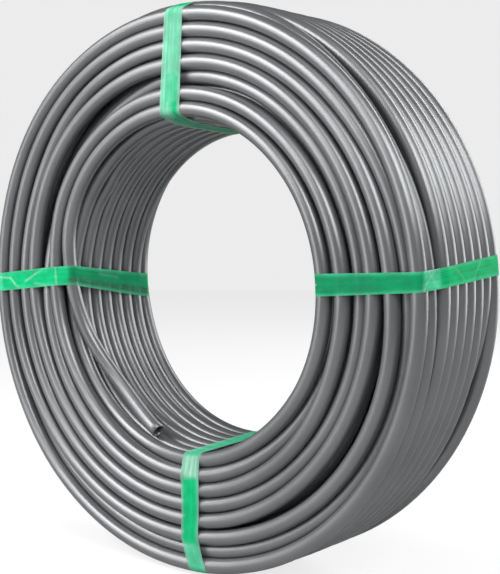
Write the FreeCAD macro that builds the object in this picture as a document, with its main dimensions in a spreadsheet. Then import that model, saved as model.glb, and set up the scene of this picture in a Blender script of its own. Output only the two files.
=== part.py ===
import FreeCAD, Part
import math
import os
import Sketcher
from FreeCAD import Placement, Rotation, Vector

# A bound coil of plastic pipe, standing on its rim.
# The coil's axis lies along Y, its front face looks along -Y, +Z is up and the
# origin is on the ground under the middle of the coil.  Angles round the coil
# are measured from +X towards +Z, as seen from the front.

doc = FreeCAD.newDocument("pipe_coil")

# ---------------------------------------------------------------- sizes, mm
SIZES = [
    ("pipe_diameter", 16.0),    # outside of the pipe
    ("pipe_wall", 2.2),
    ("turn_pitch", 16.0),       # from turn to turn across the coil
    ("nest_step", 8.0),         # how far a nested row sits in from the face
    ("groove_width", 2.2),      # bottom of the groove between two turns
    ("layer_a", 182.0),         # radius of each layer of turns, bore to rim
    ("layer_b", 199.2),
    ("layer_c", 214.4),         # nested: one turn fewer, half a turn in
    ("layer_d", 229.6),
    ("layer_e", 246.8),
    ("layer_f", 262.1),         # nested
    ("layer_g", 277.4),
    ("layer_h", 295.5),
    ("tape_thickness", 0.4),
    ("tape_width", 23.0),
    ("angle_right", 4.5),       # where each band of tape sits, degrees
    ("angle_top", 92.0),
    ("angle_left", 178.5),
    ("angle_bottom", 276.0),
    ("end_start", 184.0),       # the inner free end: where it leaves the corner
    ("end_middle", 218.0),      # where it lies deepest in the bore
    ("end_stop", 251.5),        # and where it is cut off
    ("end_radius", 168.0),      # radius of its centre line in the bore
    ("end_depth", 24.0),        # how far in from the front turn it is at its deepest
    ("end_inset", 21.5),        # and at the cut
    ("end_recess", 3.8),        # depth of the open mouth
]
sheet = doc.addObject("Spreadsheet::Sheet", "Sizes")
for row, (name, value) in enumerate(SIZES, start=1):
    sheet.set("A%d" % row, name)
    sheet.set("B%d" % row, str(value))
    sheet.setAlias("B%d" % row, name)
doc.recompute()
V = {name: float(getattr(sheet, name)) for name, _ in SIZES}

LAYERS = ["layer_" + k for k in "abcdefgh"]
NESTED = {"layer_c", "layer_f"}
HALF_TURNS = 4                  # nine turns across: four each side of the middle

r_pipe = V["pipe_diameter"] / 2
half_row = HALF_TURNS * V["turn_pitch"]
rim_radius = V["layer_h"] + r_pipe
centre = Vector(0, 0, rim_radius)


def plane(body, role):
    for o in body.Origin.OriginFeatures:
        if o.Role == role:
            return o
    raise RuntimeError(role)


def new_sketch(body, name):
    sk = body.newObject("Sketcher::SketchObject", name)
    sk.AttachmentSupport = [(plane(body, "XY_Plane"), "")]
    sk.MapMode = "FlatFace"
    return sk


# ------------------------------------------------- outline of the coil's section
# One scallop for every turn that shows: (radius, along the axis, and the
# expressions for both).  Counter-clockwise, starting at the bore's front corner.
def spot(layer, k, nested=False):
    y = k * V["turn_pitch"]
    ey = "Sizes.turn_pitch * %d" % k
    if nested:
        s = 1 if k > 0 else -1
        y -= s * V["nest_step"]
        ey += " %s Sizes.nest_step" % ("-" if s > 0 else "+")
    return (V[layer], y, "Sizes." + layer, ey)


outline = []
for layer in LAYERS:                                    # front face, outwards
    outline.append(spot(layer, -HALF_TURNS, layer in NESTED))
for k in range(-HALF_TURNS + 1, HALF_TURNS):            # rim, front to back
    outline.append(spot("layer_h", k))
for layer in reversed(LAYERS):                          # back face, inwards
    outline.append(spot(layer, HALF_TURNS, layer in NESTED))
for k in range(HALF_TURNS - 1, -HALF_TURNS, -1):        # bore, back to front
    outline.append(spot("layer_a", k))

coil_body = doc.addObject("PartDesign::Body", "TurnedCoil")
sk = new_sketch(coil_body, "CoilSection")
n = len(outline)
ends = []
for i in range(n):
    x0, y0 = outline[i][:2]
    x1, y1 = outline[(i + 1) % n][:2]
    d = math.hypot(x1 - x0, y1 - y0)
    t = ((x1 - x0) / d, (y1 - y0) / d)
    o = (t[1], -t[0])                                   # outwards
    s = (d - V["groove_width"]) / 2                     # along the pair
    q = math.sqrt(r_pipe ** 2 - s ** 2)
    ends.append(((x0 + t[0] * s + o[0] * q, y0 + t[1] * s + o[1] * q),
                 (x1 - t[0] * s + o[0] * q, y1 - t[1] * s + o[1] * q),
                 math.atan2(t[1], t[0])))
arcs, lines = [], []
for i in range(n):
    x, y = outline[i][:2]
    sx, sy = ends[i - 1][1]
    ex, ey = ends[i][0]
    a0, a1 = math.atan2(sy - y, sx - x), math.atan2(ey - y, ex - x)
    if a1 < a0:
        a1 += 2 * math.pi
    arcs.append(sk.addGeometry(Part.ArcOfCircle(
        Part.Circle(Vector(x, y, 0), Vector(0, 0, 1), r_pipe), a0, a1), False))
for i in range(n):
    (ax, ay), (bx, by), _ = ends[i]
    lines.append(sk.addGeometry(Part.LineSegment(Vector(ax, ay, 0), Vector(bx, by, 0)), False))
for i in range(n):
    sk.addConstraint(Sketcher.Constraint("Coincident", arcs[i], 2, lines[i], 1))
    sk.addConstraint(Sketcher.Constraint("Coincident", lines[i], 2, arcs[(i + 1) % n], 1))
bound = []
for i in range(n):
    x, y, exx, exy = outline[i]
    bound.append((sk.addConstraint(Sketcher.Constraint("DistanceX", -1, 1, arcs[i], 3, x)), exx))
    if abs(y) < 1e-9:
        sk.addConstraint(Sketcher.Constraint("PointOnObject", arcs[i], 3, -1))
    else:
        bound.append((sk.addConstraint(Sketcher.Constraint("DistanceY", -1, 1, arcs[i], 3, y)), exy))
    if i == 0:
        bound.append((sk.addConstraint(Sketcher.Constraint("Radius", arcs[0], r_pipe)),
                      "Sizes.pipe_diameter / 2"))
    else:
        sk.addConstraint(Sketcher.Constraint("Equal", arcs[0], arcs[i]))
for i in range(n):
    # every groove is as wide as the first and runs parallel to its own pair
    if i == 0:
        bound.append((sk.addConstraint(Sketcher.Constraint("Distance", lines[0], V["groove_width"])),
                      "Sizes.groove_width"))
    else:
        sk.addConstraint(Sketcher.Constraint("Equal", lines[0], lines[i]))
    ang = ends[i][2]
    if abs(math.sin(ang)) < 1e-9:
        sk.addConstraint(Sketcher.Constraint("Horizontal", lines[i]))
    elif abs(math.cos(ang)) < 1e-9:
        sk.addConstraint(Sketcher.Constraint("Vertical", lines[i]))
for c, e in bound:
    sk.setExpression("Constraints[%d]" % c, e)
doc.recompute()

coil_rev = coil_body.newObject("PartDesign::Revolution", "CoilTurned")
coil_rev.Profile = sk
coil_rev.ReferenceAxis = (sk, ["V_Axis"])
coil_rev.Angle = 360.0
coil_body.Tip = coil_rev
doc.recompute()


# ------------------------------------------------- the pipe's inner free end
# The first turn leaves the front corner of the bore and lies slantwise over the
# turns of the bore, along one arc, to a square cut with an open mouth.
def at(radius, degrees, y):
    a = math.radians(degrees)
    return Vector(radius * math.cos(a), y, radius * math.sin(a))


front = -half_row
p_start = at(V["layer_a"], V["end_start"], front)
p_mid = at(V["end_radius"], V["end_middle"], front + V["end_depth"])
p_stop = at(V["end_radius"], V["end_stop"], front + V["end_inset"])
ring = Part.Arc(p_start, p_mid, p_stop).toShape().Curve
hub, bend = ring.Center, ring.Radius
u = (p_stop - hub).normalize()
w = (p_start - hub).cross(p_mid - hub).normalize()
w = w.negative()                                        # turned from the cut end back
v = w.cross(u).normalize()
spin = Rotation(u, v, w, "ZXY")
sweep = math.degrees(2 * math.asin((p_start - p_stop).Length / 2 / bend))
if (p_mid - (p_start + p_stop) * 0.5).Length > bend:
    sweep = 360 - sweep
sheet.set("A40", "end_bend_radius")
sheet.set("B40", "%.6f" % bend)
sheet.setAlias("B40", "end_bend_radius")
sheet.set("A41", "end_sweep")
sheet.set("B41", "%.6f" % sweep)
sheet.setAlias("B41", "end_sweep")
doc.recompute()

tail = doc.addObject("Part::Torus", "FreeEnd")
tail.setExpression("Radius1", "Sizes.end_bend_radius")
tail.setExpression("Radius2", "Sizes.pipe_diameter / 2")
tail.setExpression("Angle3", "Sizes.end_sweep")
tail.Placement = Placement(hub, spin)
mouth = doc.addObject("Part::Cylinder", "FreeEndMouth")
mouth.setExpression("Radius", "Sizes.pipe_diameter / 2 - Sizes.pipe_wall")
mouth.setExpression("Height", "Sizes.end_recess + 2")
mouth.Placement = Placement(p_stop - v * 2.0, Rotation(Vector(0, 0, 1), v))
doc.recompute()

joined = doc.addObject("Part::Fuse", "CoilWithEnd")
joined.Base = coil_body
joined.Tool = tail
coil = doc.addObject("Part::Cut", "pipe_coil")
coil.Base = joined
coil.Tool = mouth
coil.Label = "pipe_coil"
coil.Placement = Placement(centre, Rotation())


# ------------------------------------------------- bands of tape
# Each band wraps once round the section of the coil, tight over its crests.
def tape(label, angle):
    body = doc.addObject("PartDesign::Body", label + "_body")
    s = new_sketch(body, label + "_section")
    t = V["tape_thickness"]
    x0, x1, h = V["layer_a"], V["layer_h"], half_row
    made = []
    for off, tag in ((0.0, ""), (t, " + Sizes.tape_thickness")):
        rr = r_pipe + off
        c = [(x0, -h), (x1, -h), (x1, h), (x0, h)]
        a = [(math.pi, 1.5 * math.pi), (-0.5 * math.pi, 0), (0, 0.5 * math.pi), (0.5 * math.pi, math.pi)]
        g = [s.addGeometry(Part.ArcOfCircle(Part.Circle(Vector(cx, cy, 0), Vector(0, 0, 1), rr), *a[i]), False)
             for i, (cx, cy) in enumerate(c)]
        e = [((x0, -h - rr), (x1, -h - rr)), ((x1 + rr, -h), (x1 + rr, h)),
             ((x1, h + rr), (x0, h + rr)), ((x0 - rr, h), (x0 - rr, -h))]
        l = [s.addGeometry(Part.LineSegment(Vector(p[0], p[1], 0), Vector(q[0], q[1], 0)), False) for p, q in e]
        for i in range(4):
            s.addConstraint(Sketcher.Constraint("Tangent", g[i], 2, l[i], 1))
            s.addConstraint(Sketcher.Constraint("Tangent", l[i], 2, g[(i + 1) % 4], 1))
        made.append((g, l, rr, tag))
    for g, l, rr, tag in made:
        k = s.addConstraint(Sketcher.Constraint("Radius", g[0], rr))
        s.setExpression("Constraints[%d]" % k, "Sizes.pipe_diameter / 2" + tag)
        for j in (1, 2):
            s.addConstraint(Sketcher.Constraint("Equal", g[0], g[j]))
    g, l = made[0][:2]
    for kind, geo, value, e in (("DistanceX", g[0], x0, "Sizes.layer_a"), ("DistanceX", g[1], x1, "Sizes.layer_h"),
                                ("DistanceY", g[1], -h, "Sizes.turn_pitch * -4"),
                                ("DistanceY", g[2], h, "Sizes.turn_pitch * 4")):
        k = s.addConstraint(Sketcher.Constraint(kind, -1, 1, geo, 3, value))
        s.setExpression("Constraints[%d]" % k, e)
    s.addConstraint(Sketcher.Constraint("Horizontal", l[0]))
    s.addConstraint(Sketcher.Constraint("Vertical", l[1]))
    g2 = made[1][0]
    for i in (0, 1, 2):
        s.addConstraint(Sketcher.Constraint("Coincident", g[i], 3, g2[i], 3))
    doc.recompute()
    rev = body.newObject("PartDesign::Revolution", label + "_turned")
    rev.Profile = s
    rev.ReferenceAxis = (s, ["V_Axis"])
    rev.Angle = 14.0
    rev.Midplane = True
    body.Tip = rev
    cutter = doc.addObject("Part::Box", label + "_width")
    cutter.setExpression("Width", "Sizes.turn_pitch * 8 + 60")
    cutter.setExpression("Length", "Sizes.layer_h - Sizes.layer_a + 60")
    cutter.setExpression("Height", "Sizes.tape_width")
    cutter.Placement = Placement(Vector(x0 - 30, -h - 30, -V["tape_width"] / 2), Rotation())
    both = doc.addObject("Part::Common", label)
    both.Base = body
    both.Tool = cutter
    both.Label = label
    # turned about the coil's axis (Y) to its own place round the coil
    both.Placement = Placement(centre, Rotation(Vector(0, 1, 0), -angle))
    return both


bands = [tape("strap_right", V["angle_right"]), tape("strap_top", V["angle_top"]),
         tape("strap_left", V["angle_left"]), tape("strap_bottom", V["angle_bottom"])]
doc.recompute()

# ------------------------------------------------- checks, then the files
for o in doc.Objects:
    bad = [s for s in o.State if s in ("Invalid", "Error")]
    if bad:
        raise RuntimeError("%s is %s" % (o.Name, bad))
os.makedirs("parts", exist_ok=True)
print("free end: bend radius %.2f mm, length %.1f mm, section x length %.1f mm3"
      % (bend, math.radians(sweep) * bend, math.pi * r_pipe ** 2 * math.radians(sweep) * bend))
print("free end volume %.1f mm3" % tail.Shape.Volume)
for o in [coil] + bands:
    sh = o.Shape
    if sh.isNull() or not sh.isValid() or len(sh.Solids) != 1:
        raise RuntimeError("%s has a bad shape: %d solids" % (o.Label, len(sh.Solids)))
    b = sh.BoundBox
    print("%-13s solids %d  volume %.0f mm3  x %.2f..%.2f  y %.2f..%.2f  z %.2f..%.2f"
          % (o.Label, len(sh.Solids), sh.Volume, b.XMin, b.XMax, b.YMin, b.YMax, b.ZMin, b.ZMax))
    sh.exportStep("parts/%s.step" % o.Label)
for o in bands:
    print("overlap of %s with the coil: %.3f mm3" % (o.Label, o.Shape.common(coil.Shape).Volume))
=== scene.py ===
import bpy
import math
import random
import numpy as np
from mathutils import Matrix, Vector


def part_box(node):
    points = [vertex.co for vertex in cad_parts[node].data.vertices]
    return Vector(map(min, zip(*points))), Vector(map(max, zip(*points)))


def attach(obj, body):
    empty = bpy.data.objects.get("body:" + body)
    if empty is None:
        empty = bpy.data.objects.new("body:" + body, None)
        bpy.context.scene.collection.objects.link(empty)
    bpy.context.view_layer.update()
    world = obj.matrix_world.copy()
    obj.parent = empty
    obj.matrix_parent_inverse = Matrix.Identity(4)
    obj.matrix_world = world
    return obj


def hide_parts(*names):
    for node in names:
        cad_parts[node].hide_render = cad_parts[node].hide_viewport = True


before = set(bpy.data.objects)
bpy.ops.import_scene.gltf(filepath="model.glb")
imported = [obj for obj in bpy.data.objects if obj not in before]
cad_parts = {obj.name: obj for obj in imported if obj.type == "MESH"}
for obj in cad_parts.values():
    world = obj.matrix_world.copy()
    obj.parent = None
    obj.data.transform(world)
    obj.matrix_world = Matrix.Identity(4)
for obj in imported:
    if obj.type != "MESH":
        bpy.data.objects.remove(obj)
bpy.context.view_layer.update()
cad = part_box("pipe_coil")
RIM = 0.5 * (cad[1][2] - cad[0][2])          # metres, ground to the coil's axis
RP = 8.0                                     # pipe radius, mm
ROUT = RIM * 1000.0 - RP                     # outermost centre radius, mm
YMAX = 64.0

# ----------------------------------------------------------------- winding
# Stations round the coil; each turn is a track of (radius, along the axis).
N = 144
TH = np.arange(N) * 2 * math.pi / N
DEG = np.degrees(TH)
rng = np.random.default_rng(7)


def table(pts):
    a = np.array(pts, float)
    return np.interp(DEG, a[:, 0], a[:, 1])


def wob(amp, k0=1, k1=5, seed=None):
    r = np.random.default_rng(seed)
    out = np.zeros(N)
    for k in range(k0, k1 + 1):
        out += r.normal() / k * np.cos(k * TH + r.uniform(0, 6.28))
    return amp * out


fix_r = {}
fix_y = {}
# front face, each row one turn further in than the last (radius, mm)
fix_r["T1"] = table([(0, 188), (45, 188), (90, 189.5), (120, 189.5), (135, 189.5), (150, 188.5), (161, 185), (168, 180.5), (176, 175.5), (183, 173.5),
                     (191, 171.3), (202, 167.3), (212, 163), (223, 160), (232, 160), (240, 162), (246, 165.5), (252, 170.5), (256, 172), (360, 188)])
fix_y["T1"] = table([(0, -64), (135, -64), (150, -62.5), (161, -60.5), (168, -59.3), (176, -58.3), (183, -57), (191, -53.5), (202, -48.5), (212, -44.5),
                     (223, -39.5), (236, -40.2), (246, -41.3), (252, -41.5), (256, -43), (360, -64)])
fix_r["B2"] = table([(0, 184.5), (255, 184), (285, 184), (300, 184.5), (315, 185.5), (330, 187), (345, 188), (360, 188)])
fix_y["B2"] = table([(0, -40), (60, -42.5), (120, -45.3), (195, -48.5), (240, -50.5), (255, -52.5), (270, -58), (285, -63), (300, -64), (360, -64)])
fix_r["N2"] = table([(0, 209.5), (45, 206), (90, 205), (135, 206.5), (150, 206), (162, 202.5), (172, 198), (187, 194), (195, 192), (210, 190.5),
                     (225, 190), (240, 191.5), (255, 193.5), (270, 195), (285, 197), (300, 198), (315, 198.5), (330, 199.5), (345, 200), (360, 200)])
fix_y["N2"] = table([(0, -64), (285, -64), (300, -62), (315, -58.5), (330, -54.5), (345, -51), (360, -49)])
fix_r["N3"] = table([(0, 227), (30, 226), (45, 225.5), (75, 225), (90, 222.5), (105, 220.5), (120, 219), (135, 218), (150, 216), (165, 212),
                     (187, 208), (195, 208), (225, 208.5), (240, 210), (255, 212), (270, 213), (315, 213), (330, 210.5), (345, 209.5), (360, 209.5)])
fix_y["N3"] = table([(0, -57.5), (45, -59), (75, -60), (90, -57), (105, -51), (120, -49), (150, -50), (165, -55), (180, -61), (190, -64), (360, -64)])
fix_r["N4"] = table([(0, 243.5), (30, 240.5), (45, 238.5), (60, 238.5), (90, 236), (105, 237), (135, 240.5), (150, 240), (165, 235), (187, 232),
                     (195, 229), (225, 228), (270, 229), (330, 228), (345, 227.5), (360, 227)])
fix_y["N4"] = table([(0, -64), (270, -64), (285, -62.5), (300, -61), (315, -59), (330, -57.5), (360, -57.5)])
fix_r["N5"] = table([(0, 263.5), (30, 259), (45, 256.5), (60, 255), (90, 254), (105, 255), (120, 256.5), (135, 257), (150, 255), (165, 251),
                     (187, 248), (195, 247), (225, 246), (270, 245), (285, 246), (300, 244), (330, 243), (345, 242.5), (360, 243.5)])
fix_y["N5"] = table([(0, -64), (120, -63), (135, -61), (150, -59), (165, -61), (180, -64), (360, -64)])
fix_r["N6"] = table([(0, 276), (15, 276), (30, 275), (45, 273.5), (60, 271), (90, 270), (105, 273), (135, 275.5), (150, 274), (165, 271),
                     (187, 271), (195, 271), (225, 267), (255, 265), (270, 263), (285, 264), (300, 265.5), (315, 269), (330, 269.5), (345, 268), (360, 263.5)])
fix_y["N6"] = table([(0, -56), (15, -58), (30, -61.5), (40, -64), (360, -64)])
fix_r["N7"] = table([(0, 279), (45, 277), (90, 277), (200, 279), (225, 279.5), (255, 278), (270, 277), (285, 278), (300, 280), (315, 282.5),
                     (330, 282), (345, 279), (360, 276)])
fix_y["N7"] = table([(0, -30), (60, -33), (90, -36), (120, -46), (190, -50), (225, -58), (270, -59), (300, -58), (315, -56), (330, -53), (345, -52), (360, -54)])
fix_r["P1"] = table([(0, 291), (30, 289), (45, 288), (60, 287), (90, 286.5), (105, 287), (120, 290), (135, 293), (150, 293.5), (165, 292),
                     (187, 291.5), (195, 292), (225, 292), (255, 291), (270, 291.5), (285, 293), (300, 295), (315, 295.5), (330, 294.5), (345, 292.5), (360, 291)])
fix_y["P1"] = table([(0, -64), (360, -64)])

slots = []          # name, first guess of radius and y (arrays), stiffness in each


def add(name, r, y, kr, ky):
    slots.append([name, np.array(r, float) + np.zeros(N), np.array(y, float) + np.zeros(N), kr, ky])


for nm in ("T1", "B2", "N2", "N3", "N4", "N5", "N6", "N7", "P1"):
    add(nm, fix_r[nm], fix_y[nm], 0.9, 0.9)

# bore turns: a helix that comes forward one pitch in each turn
for j in range(3, 10):
    y = -48 + 16.0 * (j - 2) - 16.0 * (DEG - 195) / 360.0
    r = 183.6 - 5.2 * (y + 40) / 104.0
    if j == 9:                   # its first half turn climbs down from the back face
        r = table([(0, 198.5), (60, 196), (120, 191), (170, 184), (195, 179), (360, 178.6)])
    add("B%d" % j, r + wob(0.3, 2, 6, 100 + j), np.clip(y + wob(0.4, 2, 5, 200 + j), -YMAX, YMAX), 0.5, 0.5)

# rim turns
rim_r = {2: [(0, 288.5), (12, 287), (22, 285.5), (30, 284.5), (45, 284.5), (55, 287), (65, 291), (75, 293), (120, 294), (200, 294), (322, 294.5), (330, 293), (345, 290), (360, 288.5)],
         3: [(0, 295.3), (200, 294.5), (360, 295.3)],
         8: [(0, 294.8), (285, 294), (300, 291), (312, 285.5), (330, 284.5), (345, 289), (355, 293.5), (360, 294.8)],
         9: [(0, 295.3), (360, 295.3)]}
rim_dy = {2: [(0, -1), (30, -1.5), (45, -1.5), (60, -0.5), (90, 0), (320, 0), (345, 0), (360, -1)],
          3: [(0, 0.5), (60, 0.5), (120, 0), (310, -1.5), (335, 0), (360, 0.5)],
          8: [(0, 0), (290, -0.5), (312, -2), (335, -2), (350, 0), (360, 0)],
          7: [(0, 0), (290, -0.5), (312, -2), (335, -1.5), (350, 0), (360, 0)]}
for j in range(2, 10):
    y0 = -64 + 16.0 * (j - 1)
    r = table(rim_r[j]) if j in rim_r else np.full(N, ROUT - 0.3)
    y = np.full(N, y0) + wob(0.35, 1, 5, 300 + j)
    if j in rim_dy:
        y = y + table(rim_dy[j])
    add("P%d" % j, r + wob(0.25, 2, 6, 400 + j), y, 0.8, 0.6)

# back face rows, a spiral that comes in one row in each turn
back_deep = {0: 0.0, 1: 5.0, 2: 0.0, 3: 7.0, 4: 0.0, 5: 4.0}
for i in range(6):
    r = 198.5 + 15.2 * (i + 1) - 15.2 * DEG / 360.0
    lo, hi = back_deep[i], back_deep[max(i - 1, 0)]
    deep = lo + (hi - lo) * DEG / 360.0 + (wob(1.2, 1, 4, 500 + i))
    if i == 5:
        deep = deep + np.interp(DEG, [0, 50], [14, 0])
    add("F%d" % i, r + wob(1.1, 1, 5, 600 + i) * np.sin(TH / 2), YMAX - np.clip(deep, 0, 20), 0.15, 0.35)

# hidden turns
k = 0
for i in range(1, 7):
    rr = 184 + 15.9 * i
    ys = np.arange(-48 + (8 if i % 2 else 0), 49, 16.3)
    for y0 in ys:
        if y0 > 44:
            continue
        add("H%d" % k, rr + wob(1.0, 1, 4, 700 + k), y0 + wob(1.0, 1, 4, 800 + k), 0.02, 0.02)
        k += 1

S = len(slots)
names = [s[0] for s in slots]
R0 = np.stack([s[1] for s in slots])
Y0 = np.stack([s[2] for s in slots])
KR = np.array([s[3] for s in slots])[:, None]
KY = np.array([s[4] for s in slots])[:, None]
HARD = np.array([1.0 if n in fix_r else 0.0 for n in names])[:, None]
W = np.array([0.04 if n in fix_r else (0.15 if n[0] == "P" else (0.35 if n[0] in "BF" else 1.0)) for n in names])   # how easily it yields
TOP = np.array([ROUT - 16.3 if n[0] == "H" else ROUT - 0.1 for n in names])[:, None]
EDGE = np.array([50.0 if n[0] == "H" else YMAX for n in names])[:, None]
R, Y = R0.copy(), Y0.copy()
DMIN = 15.85
ii, jj = np.triu_indices(S, 1)
wi = (W[ii] / (W[ii] + W[jj]))[:, None]
wj = 1.0 - wi


def smooth(A, n):
    for _ in range(n):
        A = 0.25 * np.roll(A, 1, 1) + 0.5 * A + 0.25 * np.roll(A, -1, 1)
    return A


# the tables are joined end to end, so smooth them along the unwound pipe
idx = {n: i for i, n in enumerate(names)}


RUNS = [["N7", "N6", "N5", "N4", "N3", "N2"],
        ["F5", "F4", "F3", "F2", "F1", "F0", "B9", "B8", "B7", "B6", "B5", "B4", "B3", "B2", "T1"]]
IN_RUN = [idx[n] for run in RUNS for n in run]


def along(A, run):
    return np.concatenate([A[idx[o]] for o in run])


def chain_smooth(A, n):
    for run in RUNS:
        line = along(A, run)
        pad = np.concatenate([np.full(24, line[0]), line, np.full(24, line[-1])])
        for _ in range(n):
            pad[1:-1] = 0.25 * pad[:-2] + 0.5 * pad[1:-1] + 0.25 * pad[2:]
        line = pad[24:-24]
        for q, o in enumerate(run):
            A[idx[o]] = line[q * N:(q + 1) * N]
    return A


def smooth_all(A, n):
    B = smooth(A.copy(), n)
    chain_smooth(A, n)
    keep = A[IN_RUN].copy()
    A[:] = B
    A[IN_RUN] = keep
    return A


LIVE = np.ones((S, N))
LIVE[idx["T1"], DEG > 254] = 0.0             # the free end stops here
smooth_all(R0, 8)
smooth_all(Y0, 8)
R, Y = R0.copy(), Y0.copy()
both = LIVE[ii] * LIVE[jj]
PULL_I = np.zeros((S, len(ii)))
PULL_I[ii, np.arange(len(ii))] = -wi[:, 0]
PULL_I[jj, np.arange(len(ii))] = wj[:, 0]
for it in range(240):
    pull = 0.35 if it < 180 else 0.08
    R += (R0 - R) * KR * pull
    Y += (Y0 - Y) * KY * pull
    for _ in range(2):
        dr = R[jj] - R[ii]
        dy = Y[jj] - Y[ii]
        d = np.sqrt(dr * dr + dy * dy) + 1e-6
        push = np.clip(DMIN - d, 0, None) / d * both
        R += PULL_I @ (push * dr) * 0.6
        Y += PULL_I @ (push * dy) * 0.6
        R = np.clip(R, 159.0, TOP)
        Y = np.clip(Y, -EDGE, EDGE)
    if it % 6 == 5:
        smooth_all(R, 1)
        smooth_all(Y, 1)
dr = R[jj] - R[ii]
dy = Y[jj] - Y[ii]
d = np.sqrt(dr * dr + dy * dy)
print("winding: turns %d, deepest overlap %.2f mm, mean turn %.3f m, total %.1f m"
      % (S, DMIN - d.min(), (2 * math.pi * R.mean()) / 1000, (2 * math.pi * R.mean(1)).sum() / 1000))

# ----------------------------------------------------------------- meshes
CZ = RIM


def tube_mesh(name, pts, sides, closed=False, open_end=False, wall=2.2, phase=0.0):
    """A pipe along pts: rows of (angle, radius mm, along-axis mm)."""
    pts = np.array(pts, float)
    a, r, y = pts[:, 0], pts[:, 1] / 1000, pts[:, 2] / 1000
    P = np.stack([r * np.cos(a), y, CZ + r * np.sin(a)], 1)
    if closed:
        T = np.roll(P, -1, 0) - np.roll(P, 1, 0)
    else:
        T = np.gradient(P, axis=0)
    T /= np.linalg.norm(T, axis=1)[:, None]
    U = np.stack([np.cos(a), np.zeros_like(a), np.sin(a)], 1)
    U -= T * (U * T).sum(1)[:, None]
    U /= np.linalg.norm(U, axis=1)[:, None]
    Wv = np.cross(T, U)
    ph = np.arange(sides) * 2 * math.pi / sides + phase
    rad = RP / 1000
    V = (P[:, None] + rad * (np.cos(ph)[None, :, None] * U[:, None] + np.sin(ph)[None, :, None] * Wv[:, None]))
    n = len(P)
    verts = [tuple(v) for v in V.reshape(-1, 3)]
    faces = []
    for i in range(n if closed else n - 1):
        k = (i + 1) % n
        for j in range(sides):
            m = (j + 1) % sides
            faces.append((i * sides + j, k * sides + j, k * sides + m, i * sides + m))
    if not closed:
        # hidden start: a plain cap.  Far end: square cut with the pipe's wall
        faces.append(tuple(range(sides)))
        if open_end:
            base = (n - 1) * sides
            rings = [(rad - 0.0005, 0.00045, 0), (rad - wall / 1000 + 0.0004, 0.00045, 0), (rad - wall / 1000, 0.0, 0)]
            for d in range(1, 9):
                rings.append((rad - wall / 1000, 0.0, -d))
            prev = base
            for (q, out, back) in rings:
                c = n - 1 + back
                ctr = P[c] + T[c] * (out if out else 0.0)
                st = len(verts)
                for j in range(sides):
                    v = ctr + q * (math.cos(ph[j]) * U[c] + math.sin(ph[j]) * Wv[c])
                    verts.append(tuple(v))
                for j in range(sides):
                    m = (j + 1) % sides
                    faces.append((prev + j, st + j, st + m, prev + m))
                prev = st
            faces.append(tuple(prev + j for j in range(sides)))
        else:
            base = (n - 1) * sides
            faces.append(tuple(base + j for j in reversed(range(sides))))
    return verts, faces


def tube_object(name, parts):
    verts, faces = [], []
    for v, f in parts:
        o = len(verts)
        verts += v
        faces += [tuple(i + o for i in g) for g in f]
    me = bpy.data.meshes.new(name)
    me.from_pydata(verts, [], faces)
    me.validate()
    me.polygons.foreach_set("use_smooth", [True] * len(me.polygons))
    me.update()
    ob = bpy.data.objects.new(name, me)
    bpy.context.collection.objects.link(ob)
    return ob


def track(names_, closed=False, first=0, last=None):
    rows = []
    for q, nm in enumerate(names_):
        i = idx[nm]
        for k in range(N):
            rows.append((TH[k] + 2 * math.pi * q, R[i, k], Y[i, k]))
    if last is not None:
        rows = rows[:last]
    return rows[first:]


# front face, the spiral of rows and the rim's first turn
objs = []
front = [tube_mesh("a", track(RUNS[0]), 18)]
front.append(tube_mesh("b", track(["P1"]), 20, closed=True))
objs.append(tube_object("pipe_front_rows", front))
# bore turns down to the free end
run = RUNS[1][6:]
cut_deg = 251.5
rows = track(run)
last = (len(run) - 1) * N + int(round(cut_deg / 360 * N)) + 1
rows = rows[:last]
objs.append(tube_object("pipe_bore_turns", [tube_mesh("c", rows, 18, open_end=True)]))
objs.append(tube_object("pipe_rim_turns", [tube_mesh("d%d" % j, track(["P%d" % j]), 18, closed=True, phase=0.0) for j in range(2, 10)]))
objs.append(tube_object("pipe_back_rows", [tube_mesh("e", track(RUNS[1][:6]) + [(TH[0] + 12 * math.pi, R[idx["B9"], 0], Y[idx["B9"], 0]), (TH[1] + 12 * math.pi, R[idx["B9"], 1], Y[idx["B9"], 1])], 14)]))
objs.append(tube_object("pipe_inner_turns", [tube_mesh("h%d" % q, track([nm])[::2], 7, closed=True) for q, nm in enumerate(n_ for n_ in names if n_[0] == "H")]))


# ----------------------------------------------------------------- tape
def hull(points):
    pts = sorted(set((round(a, 4), round(b, 4)) for a, b in points))

    def half(seq):
        out = []
        for p in seq:
            while len(out) >= 2 and ((out[-1][0] - out[-2][0]) * (p[1] - out[-2][1])
                                     - (out[-1][1] - out[-2][1]) * (p[0] - out[-2][0])) <= 0:
                out.pop()
            out.append(p)
        return out[:-1]
    return np.array(half(pts) + half(pts[::-1]))


def section(theta, w, grow):
    """Crests of the coil in the plane w mm beside the radial plane at theta."""
    out = []
    for i in range(S):
        if names[i][0] == "H":
            continue
        r = R[i].mean()
        a = theta + math.asin(w / r)
        q = (a / (2 * math.pi) * N) % N
        k = int(q) % N
        f = q - int(q)
        if LIVE[i, k] < 0.5:
            continue
        # a run's last station leads on to the next turn
        k2 = (k + 1) % N
        r = R[i, k] * (1 - f) + R[i, k2] * f if k2 else R[i, k]
        y = Y[i, k] * (1 - f) + Y[i, k2] * f if k2 else Y[i, k]
        rr = math.sqrt(max(r * r - w * w, 1))
        ph = np.arange(0, 360, 9.0) * math.pi / 180
        out += [(rr + (RP + grow) * math.cos(t), y + (RP + grow) * math.sin(t)) for t in ph]
    return hull(out)


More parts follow.
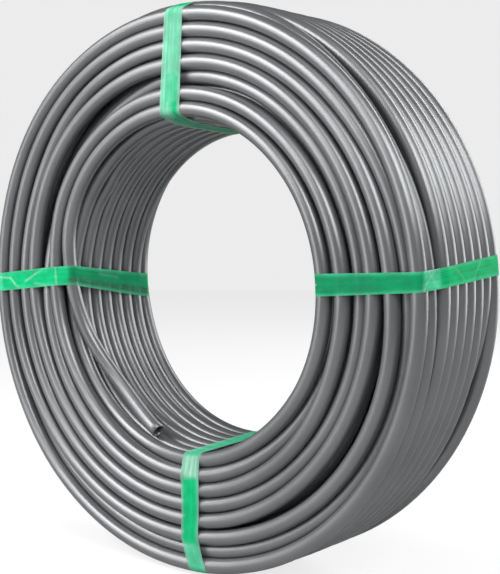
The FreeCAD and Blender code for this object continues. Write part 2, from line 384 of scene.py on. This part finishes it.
def loops(deg, grow, M, wlist):
    """Closed loops round the coil's section, in planes w mm beside the radial
    plane, all starting from the middle of the bore side."""
    theta = math.radians(deg)
    out_r, out_y = [], []
    for w_ in wlist:
        h = section(theta, w_, grow)
        h = np.vstack([h, h[:1]])
        cum = np.concatenate([[0], np.cumsum(np.linalg.norm(np.diff(h, axis=0), axis=1))])
        tt = np.linspace(0, cum[-1], 4 * M, endpoint=False)
        rad = np.interp(tt, cum, h[:, 0])
        yy = np.interp(tt, cum, h[:, 1])
        best = np.argmin(np.hypot(rad - rad.min(), yy - 6.0))
        out_r.append(np.roll(rad, -best)[::4])
        out_y.append(np.roll(yy, -best)[::4])
    return np.array(out_r), np.array(out_y)


def build_tape(name, deg, width, grow, seed, corners, wide, bend, paint, glints_and_dark_lines):
    """corners: sideways lean in mm at the front-inner, front-outer, back-outer
    and back-inner corners; bend: extra lean over the front face by radius."""
    M, K = 420, 17
    theta = math.radians(deg)
    r_ = np.random.default_rng(seed)
    wlist = np.linspace(-32, 32, 33)
    LR, LY = loops(deg, grow, M, wlist)
    wv = np.tile(np.linspace(-0.5, 0.5, K), (M, 1))
    m0 = len(wlist) // 2
    rad, yy = np.tile(LR[m0][:, None], (1, K)), np.tile(LY[m0][:, None], (1, K))
    fi, fo, bo, bi = corners
    wi, wo, xo, xi = wide
    bend = np.array(bend, float)
    R0, R1 = LR[m0].min(), LR[m0].max()
    p = np.clip((rad - R0) / (R1 - R0), 0, 1)
    q = np.clip((yy + 72) / 144, 0, 1)
    lean = (1 - p) * (1 - q) * fi + p * (1 - q) * fo + p * q * bo + (1 - p) * q * bi
    lean = lean + np.interp(rad, bend[:, 0], bend[:, 1]) * (1 - q) ** 6
    spread = (1 - p) * (1 - q) * wi + p * (1 - q) * wo + p * q * xo + (1 - p) * q * xi
    W_ = np.clip(wv * width * spread + lean, -31.9, 31.9)
    at_w = (W_ - wlist[0]) / (wlist[1] - wlist[0])
    k_ = np.clip(at_w.astype(int), 0, len(wlist) - 2)
    f_ = at_w - k_
    row = np.tile(np.arange(M)[:, None], (1, K))
    rad = LR[k_, row] * (1 - f_) + LR[k_ + 1, row] * f_
    yy = LY[k_, row] * (1 - f_) + LY[k_ + 1, row] * f_
    verts, faces = [], []
    u = np.arange(M) / M
    dr = np.roll(rad, -1, 0) - np.roll(rad, 1, 0)
    dy = np.roll(yy, -1, 0) - np.roll(yy, 1, 0)
    ln = np.sqrt(dr * dr + dy * dy) + 1e-9
    nr, ny = dy / ln, -dr / ln
    sign = np.sign(((rad - rad.mean()) * nr + (yy - yy.mean()) * ny).mean())
    nr, ny = nr * sign, ny * sign
    # fine lengthwise pleats
    pleat = np.zeros((M, K))
    for q in range(5):
        fq = r_.uniform(1.0, 4.0)
        ph0 = r_.uniform(0, 6.28)
        dr_ = r_.integers(-3, 4)
        pleat += np.sin(2 * math.pi * (fq * wv + dr_ * u[:, None]) + ph0) * r_.uniform(0.3, 1.0)
    pleat *= 0.05
    rad2 = rad + nr * pleat
    yy2 = yy + ny * pleat
    co, si = math.cos(theta), math.sin(theta)
    X = (rad2 * co - W_ * si) / 1000
    Z = CZ + (rad2 * si + W_ * co) / 1000
    V = np.stack([X, yy2 / 1000, Z], -1)
    # keep every point on the coil's rim circle it was wrapped to
    rim = np.sqrt(X ** 2 + (Z - CZ) ** 2)
    lim = (RIM * 1000 - 0.02) / 1000
    over = np.where(rim > lim, lim / rim, 1.0)
    V[..., 0] *= over
    V[..., 2] = CZ + (V[..., 2] - CZ) * over
    verts = [tuple(v) for v in V.reshape(-1, 3)]
    for i in range(M):
        k = (i + 1) % M
        for j in range(K - 1):
            faces.append((i * K + j, k * K + j, k * K + j + 1, i * K + j + 1))
    me = bpy.data.meshes.new(name)
    me.from_pydata(verts, [], faces)
    uv = me.uv_layers.new(name="band")
    for pg in me.polygons:
        for li in pg.loop_indices:
            i, j = divmod(me.loops[li].vertex_index, K)
            uu = i / M
            if pg.index // (K - 1) == M - 1 and i == 0:
                uu = 1.0
            uv.data[li].uv = (uu, j / (K - 1))
    # tone: colour and cover of the film along the band, with painted highlight lines mixed in below
    d = np.stack([yy + 72, R1 - rad, rad - R0, 72 - yy], -1)
    side = d.argmin(-1)                                  # 0 front, 1 rim, 2 bore, 3 back
    along = np.where((side == 0) | (side == 3), rad, yy)
    tone = np.zeros((M, K, 4))
    tone[...] = paint["base"]
    for (sd, a0, a1, v0, v1, col) in paint["patches"]:
        m = (side == sd) & (along >= a0) & (along < a1) & (wv >= v0) & (wv <= v1)
        tone[m] = col
    # soften the edges of the patches
    for _ in range(2):
        tone = 0.25 * np.roll(tone, 1, 0) + 0.5 * tone + 0.25 * np.roll(tone, -1, 0)
        side_v = np.concatenate([tone[:, :1], tone, tone[:, -1:]], 1)
        tone = 0.25 * side_v[:, :-2] + 0.5 * tone + 0.25 * side_v[:, 2:]
    if paint["margin"]:
        mg = np.clip((np.abs(wv) - 0.33) / 0.12, 0, 1)[..., None]
        tone = tone * (1 - mg * 0.75) + np.array(paint["margin"]) * mg * 0.75
    # painted highlights: a line with positive strength st mixes near-white glints into the tone along creases and edges
    # of the film; a line with negative st mixes in a dark line
    for (sd, a0, v0, a1, v1, wd, st) in glints_and_dark_lines:
        L = math.hypot(a1 - a0, (v1 - v0) * width) + 1e-9
        ax, vx = (along - a0), (wv - v0) * width
        t = np.clip((ax * (a1 - a0) + vx * (v1 - v0) * width) / (L * L), 0, 1)
        dist = np.hypot(ax - t * (a1 - a0), vx - t * (v1 - v0) * width)
        g = (side == sd) * np.exp(-(dist / wd) ** 2) * abs(st) * 0.33
        tgt = np.array((0.85, 0.95, 0.90, 1.0) if st > 0 else (0.01, 0.12, 0.06, 1.0))
        tone = tone * (1 - g[..., None]) + tgt * g[..., None]
    at = me.color_attributes.new(name="tone", type="FLOAT_COLOR", domain="POINT")
    at.data.foreach_set("color", tone.reshape(-1))
    me.polygons.foreach_set("use_smooth", [True] * len(me.polygons))
    me.update()
    ob = bpy.data.objects.new(name, me)
    bpy.context.collection.objects.link(ob)
    return ob


G_DEEP, G_MID, G_VIV, G_MINT, G_PALE = (0.006, 0.15, 0.055), (0.008, 0.245, 0.10), (0.008, 0.40, 0.155), (0.06, 0.48, 0.25), (0.26, 0.58, 0.42)


def c4(c, a):
    return (c[0], c[1], c[2], a)


# the last list of each tape holds lines (side, start along, start across, end along, end across, width, strength):
# painted highlight glints where the strength is positive, dark lines where it is negative
TAPES = {
    "tape_right": build_tape("tape_right", 4.5, 22.0, 0.16, 11, (-2, -4, 7, 4), (1.0, 0.82, 0.92, 1.0), [(170, 0), (310, 0)],
        {"base": c4(G_MID, 0.80), "margin": c4(G_MINT, 0.72), "patches": [
            (0, 255, 310, -1, 1, c4(G_MID, 0.92)),
            (1, -80, -44, -1, 1, c4(G_MINT, 0.95)),
            (1, -44, 80, -1, 1, c4((0.003, 0.36, 0.12), 0.98)),
            (2, -80, 80, -1, 1, c4(G_DEEP, 0.92)), (3, 0, 400, -1, 1, c4(G_VIV, 0.90))]},
        [(0, 254, -0.5, 254, 0.5, 0.9, -0.5), (1, -44, -0.5, -44, 0.5, 0.9, -0.35), (0, 176, -0.05, 184, 0.0, 1.0, 0.8),
         (0, 298, -0.5, 301, 0.5, 1.1, 0.6), (1, -70, 0.48, -46, 0.5, 1.3, 0.8), (1, -66, -0.2, -52, 0.45, 1.0, 0.35),
         (1, -60, 0.4, -48, -0.5, 1.0, 0.25), (1, -20, 0.4, -4, -0.3, 1.2, 0.18), (1, 14, -0.4, 30, 0.4, 1.2, 0.18)]),
    "tape_top": build_tape("tape_top", 92.0, 24.0, 0.16, 12, (0, -12.5, -8, -2), (1.2, 1.03, 1.0, 1.3), [(170, 0), (310, 0)],
        {"base": c4((0.14, 0.50, 0.32), 0.86), "margin": c4(G_PALE, 0.62), "patches": [
            (0, 190, 226, -0.30, 0.30, c4((0.085, 0.46, 0.26), 0.90)),
            (0, 170, 196, -0.42, -0.10, c4(G_VIV, 0.88)),
            (0, 196, 222, -0.42, -0.20, c4((0.04, 0.44, 0.21), 0.86)),
            (0, 284, 305, 0.1, 0.36, c4((0.08, 0.46, 0.26), 0.88)),
            (1, -80, 80, -1, 1, c4(G_VIV, 0.94)),
            (2, -80, 80, -1, 1, c4((0.04, 0.30, 0.16), 0.84)), (3, 0, 400, -1, 1, c4((0.14, 0.50, 0.32), 0.88))]},
        [(0, 178, 0.1, 196, 0.12, 0.8, 0.45), (0, 178, 0.25, 205, 0.3, 0.8, 0.4), (0, 176, -0.1, 190, -0.05, 0.7, 0.4),
         (0, 262, -0.5, 262, 0.5, 0.8, -0.14), (0, 205, 0.33, 300, 0.30, 0.7, 0.35), (0, 210, -0.1, 300, -0.05, 0.6, 0.22),
         (0, 230, 0.12, 300, 0.16, 0.6, 0.22), (2, -68, 0.2, -30, 0.25, 0.8, 0.5), (2, -66, -0.1, -34, 0.0, 0.8, 0.4),
         (0, 175.5, -0.45, 175.5, 0.45, 0.9, -0.5)]),
    "tape_left": build_tape("tape_left", 178.5, 22.0, 0.16, 13, (-5.5, 13, 9, 15), (1.0, 1.0, 1.1, 1.35), [(170, 0), (310, 0)],
        {"base": c4(G_VIV, 0.93), "margin": c4(G_MINT, 0.78), "patches": [
            (0, 228, 310, -1, 1, c4(G_VIV, 0.97)),
            (0, 286, 310, -1, 1, c4(G_MINT, 0.95)),
            (1, -80, 80, -1, 1, c4(G_VIV, 0.97)),
            (2, -80, 80, -0.5, 0.10, c4(G_MID, 0.96)), (2, -80, 80, 0.10, 0.5, c4((0.03, 0.20, 0.10), 0.72)),
            (3, 0, 400, -1, 1, c4(G_VIV, 0.92))]},
        [(0, 296, -0.3, 270, -0.15, 1.0, 0.65), (0, 270, -0.15, 262, 0.2, 1.1, 0.7), (0, 262, 0.2, 254, 0.42, 1.0, 0.5),
         (0, 242, 0.1, 224, -0.22, 1.2, 0.55), (0, 224, -0.22, 212, -0.4, 1.2, 0.35), (0, 226, 0.25, 206, 0.45, 1.2, 0.3),
         (0, 190, -0.45, 188, 0.45, 1.1, 0.5), (2, -64, 0.1, 64, 0.12, 0.8, -0.25), (2, -20, -0.25, 10, -0.2, 1.2, 0.2)]),
    "tape_bottom": build_tape("tape_bottom", 276.0, 23.0, 0.16, 14, (2, 5, 0, -1), (1.15, 1.0, 1.0, 1.35), [(170, 0), (185, 0), (205, -1), (240, -5), (262, -9), (285, -5), (303, 0)],
        {"base": c4(G_VIV, 0.90), "margin": c4((0.20, 0.50, 0.36), 0.60), "patches": [
            (0, 160, 199, -1, 1, c4((0.24, 0.52, 0.38), 0.76)),
            (0, 199, 268, -0.32, 0.32, c4(G_VIV, 0.93)),
            (0, 268, 310, -1, 1, c4((0.08, 0.48, 0.27), 0.84)),
            (1, -80, 80, -1, 1, c4(G_VIV, 0.92)),
            (2, -80, 80, -1, 1, c4((0.06, 0.42, 0.23), 0.88)), (3, 0, 400, -1, 1, c4(G_VIV, 0.92))]},
        [(0, 199, -0.5, 199, 0.5, 0.9, -0.3), (0, 268, -0.5, 268, 0.5, 0.9, -0.45), (0, 216, -0.3, 216, 0.3, 0.8, -0.3),
         (0, 178, -0.2, 196, -0.25, 0.8, 0.5), (0, 178, 0.1, 196, 0.05, 0.8, 0.5), (0, 178, 0.3, 196, 0.33, 0.8, 0.4),
         (0, 175.5, -0.45, 175.5, 0.45, 0.9, -0.5), (0, 232, 0.3, 262, 0.33, 0.8, -0.25)]),
}


# ----------------------------------------------------------------- materials
def new_mat(name):
    m = bpy.data.materials.new(name)
    m.use_nodes = True
    m.node_tree.nodes.clear()
    return m, m.node_tree.nodes, m.node_tree.links


def pipe_material():
    m, nd, ln = new_mat("pipe_plastic")
    out = nd.new("ShaderNodeOutputMaterial")
    b = nd.new("ShaderNodeBsdfPrincipled")
    tc = nd.new("ShaderNodeTexCoord")
    n1 = nd.new("ShaderNodeTexNoise")
    n1.inputs["Scale"].default_value = 9.0
    n1.inputs["Detail"].default_value = 3.0
    ln.new(tc.outputs["Object"], n1.inputs["Vector"])
    n2 = nd.new("ShaderNodeTexNoise")
    n2.inputs["Scale"].default_value = 900.0
    n2.inputs["Detail"].default_value = 2.0
    ln.new(tc.outputs["Object"], n2.inputs["Vector"])
    mixv = nd.new("ShaderNodeMath")
    mixv.operation = "MULTIPLY_ADD"
    mixv.inputs[1].default_value = 0.14
    ln.new(n2.outputs["Fac"], mixv.inputs[0])
    ln.new(n1.outputs["Fac"], mixv.inputs[2])
    cr = nd.new("ShaderNodeValToRGB")
    cr.color_ramp.elements[0].position = 0.36
    cr.color_ramp.elements[0].color = (0.158, 0.162, 0.166, 1)
    cr.color_ramp.elements[1].position = 0.95
    cr.color_ramp.elements[1].color = (0.215, 0.220, 0.226, 1)
    ln.new(mixv.outputs[0], cr.inputs[0])
    ln.new(cr.outputs[0], b.inputs["Base Color"])
    b.inputs["Metallic"].default_value = 0.58
    rr = nd.new("ShaderNodeMapRange")
    rr.inputs["To Min"].default_value = 0.30
    rr.inputs["To Max"].default_value = 0.35
    ln.new(n1.outputs["Fac"], rr.inputs["Value"])
    ln.new(rr.outputs[0], b.inputs["Roughness"])
    bp = nd.new("ShaderNodeBump")
    bp.inputs["Strength"].default_value = 0.004
    bp.inputs["Distance"].default_value = 0.0001
    ln.new(n2.outputs["Fac"], bp.inputs["Height"])
    ln.new(bp.outputs[0], b.inputs["Normal"])
    ln.new(b.outputs[0], out.inputs[0])
    return m


def tape_material(name):
    m, nd, ln = new_mat(name)
    out = nd.new("ShaderNodeOutputMaterial")
    b = nd.new("ShaderNodeBsdfPrincipled")
    tone = nd.new("ShaderNodeAttribute")
    tone.attribute_name = "tone"
    uvn = nd.new("ShaderNodeUVMap")
    uvn.uv_map = "band"
    mp = nd.new("ShaderNodeMapping")
    mp.inputs["Scale"].default_value = (26.0, 2.2, 1.0)
    mp.inputs["Rotation"].default_value = (0, 0, 0.5)
    ln.new(uvn.outputs[0], mp.inputs["Vector"])
    n1 = nd.new("ShaderNodeTexNoise")
    n1.inputs["Scale"].default_value = 1.0
    n1.inputs["Detail"].default_value = 3.0
    ln.new(mp.outputs[0], n1.inputs["Vector"])
    # lengthwise streaks in the film
    mp2 = nd.new("ShaderNodeMapping")
    mp2.inputs["Scale"].default_value = (3.0, 26.0, 1.0)
    ln.new(uvn.outputs[0], mp2.inputs["Vector"])
    n2 = nd.new("ShaderNodeTexNoise")
    n2.inputs["Scale"].default_value = 1.0
    n2.inputs["Detail"].default_value = 2.0
    ln.new(mp2.outputs[0], n2.inputs["Vector"])
    mix = nd.new("ShaderNodeMath")
    mix.operation = "ADD"
    ln.new(n1.outputs["Fac"], mix.inputs[0])
    ln.new(n2.outputs["Fac"], mix.inputs[1])
    rg = nd.new("ShaderNodeMapRange")
    rg.inputs["From Min"].default_value = 0.65
    rg.inputs["From Max"].default_value = 1.35
    rg.inputs["To Min"].default_value = 0.72
    rg.inputs["To Max"].default_value = 1.28
    ln.new(mix.outputs[0], rg.inputs["Value"])
    sc = nd.new("ShaderNodeVectorMath")
    sc.operation = "SCALE"
    ln.new(tone.outputs["Color"], sc.inputs[0])
    ln.new(rg.outputs[0], sc.inputs["Scale"])
    ln.new(sc.outputs[0], b.inputs["Base Color"])
    ln.new(tone.outputs["Alpha"], b.inputs["Alpha"])
    b.inputs["Roughness"].default_value = 0.24
    b.inputs["Specular IOR Level"].default_value = 0.05
    b.inputs["IOR"].default_value = 1.2
    ln.new(b.outputs[0], out.inputs[0])
    return m


pipe = pipe_material()
for o in objs:
    o.data.materials.append(pipe)
    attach(o, "root")
    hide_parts("pipe_coil")
tm = {nm: tape_material(nm) for nm in TAPES}
for nm, o in TAPES.items():
    o.data.materials.append(tm[nm])
    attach(o, "root")
    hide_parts("strap_" + nm.split("_")[1])

# ----------------------------------------------------------------- set
bpy.context.scene.view_settings.view_transform = "Standard"
bpy.ops.mesh.primitive_plane_add(size=9, location=(0, 0, 0))
floor = bpy.context.object
floor.name = "floor"
fm, nd, ln = new_mat("floor_pale")
o_ = nd.new("ShaderNodeOutputMaterial")
b_ = nd.new("ShaderNodeBsdfPrincipled")
b_.inputs["Base Color"].default_value = (0.20, 0.20, 0.203, 1)
b_.inputs["Roughness"].default_value = 0.7
b_.inputs["Specular IOR Level"].default_value = 0.1
b_.inputs["Emission Color"].default_value = (1.0, 1.0, 1.0, 1)
b_.inputs["Emission Strength"].default_value = 0.78
ln.new(b_.outputs[0], o_.inputs[0])
floor.data.materials.append(fm)
floor.visible_diffuse = False
floor.visible_glossy = False
floor.visible_shadow = False
# what the floor throws back on the coil
bpy.ops.mesh.primitive_plane_add(size=9, location=(0, 0, -0.002))
bounce = bpy.context.object
bounce.name = "floor_bounce"
bn, nd, ln = new_mat("floor_bounce")
o_ = nd.new("ShaderNodeOutputMaterial")
b_ = nd.new("ShaderNodeBsdfPrincipled")
b_.inputs["Base Color"].default_value = (0.42, 0.42, 0.42, 1)
b_.inputs["Roughness"].default_value = 0.8
ln.new(b_.outputs[0], o_.inputs[0])
bounce.data.materials.append(bn)
bounce.visible_camera = False

# a pale wall all round, seen by the camera only
me = bpy.data.meshes.new("backdrop")
wall_r, wall_n = 4.3, 96
wv_ = [(wall_r * math.cos(2 * math.pi * q / wall_n), wall_r * math.sin(2 * math.pi * q / wall_n), z)
       for z in (-0.01, 3.2) for q in range(wall_n)]
me.from_pydata(wv_, [], [(q, (q + 1) % wall_n, wall_n + (q + 1) % wall_n, wall_n + q) for q in range(wall_n)])
backdrop = bpy.data.objects.new("backdrop", me)
bpy.context.collection.objects.link(backdrop)
bm_, nd, ln = new_mat("backdrop_pale")
o_ = nd.new("ShaderNodeOutputMaterial")
e_ = nd.new("ShaderNodeEmission")
e_.inputs[0].default_value = (1.0, 1.0, 1.0, 1)
e_.inputs[1].default_value = 0.84
ln.new(e_.outputs[0], o_.inputs[0])
backdrop.data.materials.append(bm_)
backdrop.visible_diffuse = False
backdrop.visible_glossy = False
backdrop.visible_shadow = False

w = bpy.data.worlds.new("studio")
bpy.context.scene.world = w
w.use_nodes = True
w.node_tree.nodes["Background"].inputs[0].default_value = (0.90, 0.93, 1.0, 1)
w.node_tree.nodes["Background"].inputs[1].default_value = 0.03


def softbox(name, az, el, power, size=1.15):
    a, e = math.radians(az), math.radians(el)
    d = Vector((math.cos(e) * math.cos(a), math.cos(e) * math.sin(a), math.sin(e)))
    l = bpy.data.lights.new(name, "AREA")
    l.shape = "SQUARE"
    l.size = size
    l.energy = power
    o = bpy.data.objects.new(name, l)
    o.location = Vector((0, 0, CZ)) + d * 2.4
    o.rotation_euler = (-d).to_track_quat("-Z", "Y").to_euler()
    o.visible_camera = False
    bpy.context.collection.objects.link(o)


# soft boxes: front left, front right above the camera, right, and behind
for q, (az, el, pw) in enumerate([(-150, 10, 4.5), (-120, 10, 18), (0, 35, 12), (90, 40, 12),
                                  (-150, 35, 15), (-120, 35, 38), (-90, 35, 12), (-30, 35, 30), (-45, 60, 9)]):
    softbox("softbox_%d" % q, az, el, pw)
softbox("panel_behind_right", 64, 12, 62, 2.4)

# ----------------------------------------------------------------- camera
AZ, EL, DIST, FPX = math.radians(40.75), math.radians(3.74), 1.2017, 1088.1
back_v = Vector((math.sin(AZ) * math.cos(EL), -math.cos(AZ) * math.cos(EL), math.sin(EL)))
cam = bpy.data.cameras.new("camera")
cam.sensor_fit = "VERTICAL"
cam.sensor_height = 24.0
cam.lens = FPX * 24.0 / 574.0
cam.shift_x = (250.0 - 217.73) / 574.0
cam.shift_y = (286.12 - 287.0) / 574.0
camo = bpy.data.objects.new("camera", cam)
camo.location = Vector((0, 0, CZ)) + back_v * DIST
camo.rotation_euler = (-back_v).to_track_quat("-Z", "Y").to_euler()
bpy.context.collection.objects.link(camo)
bpy.context.scene.camera = camo
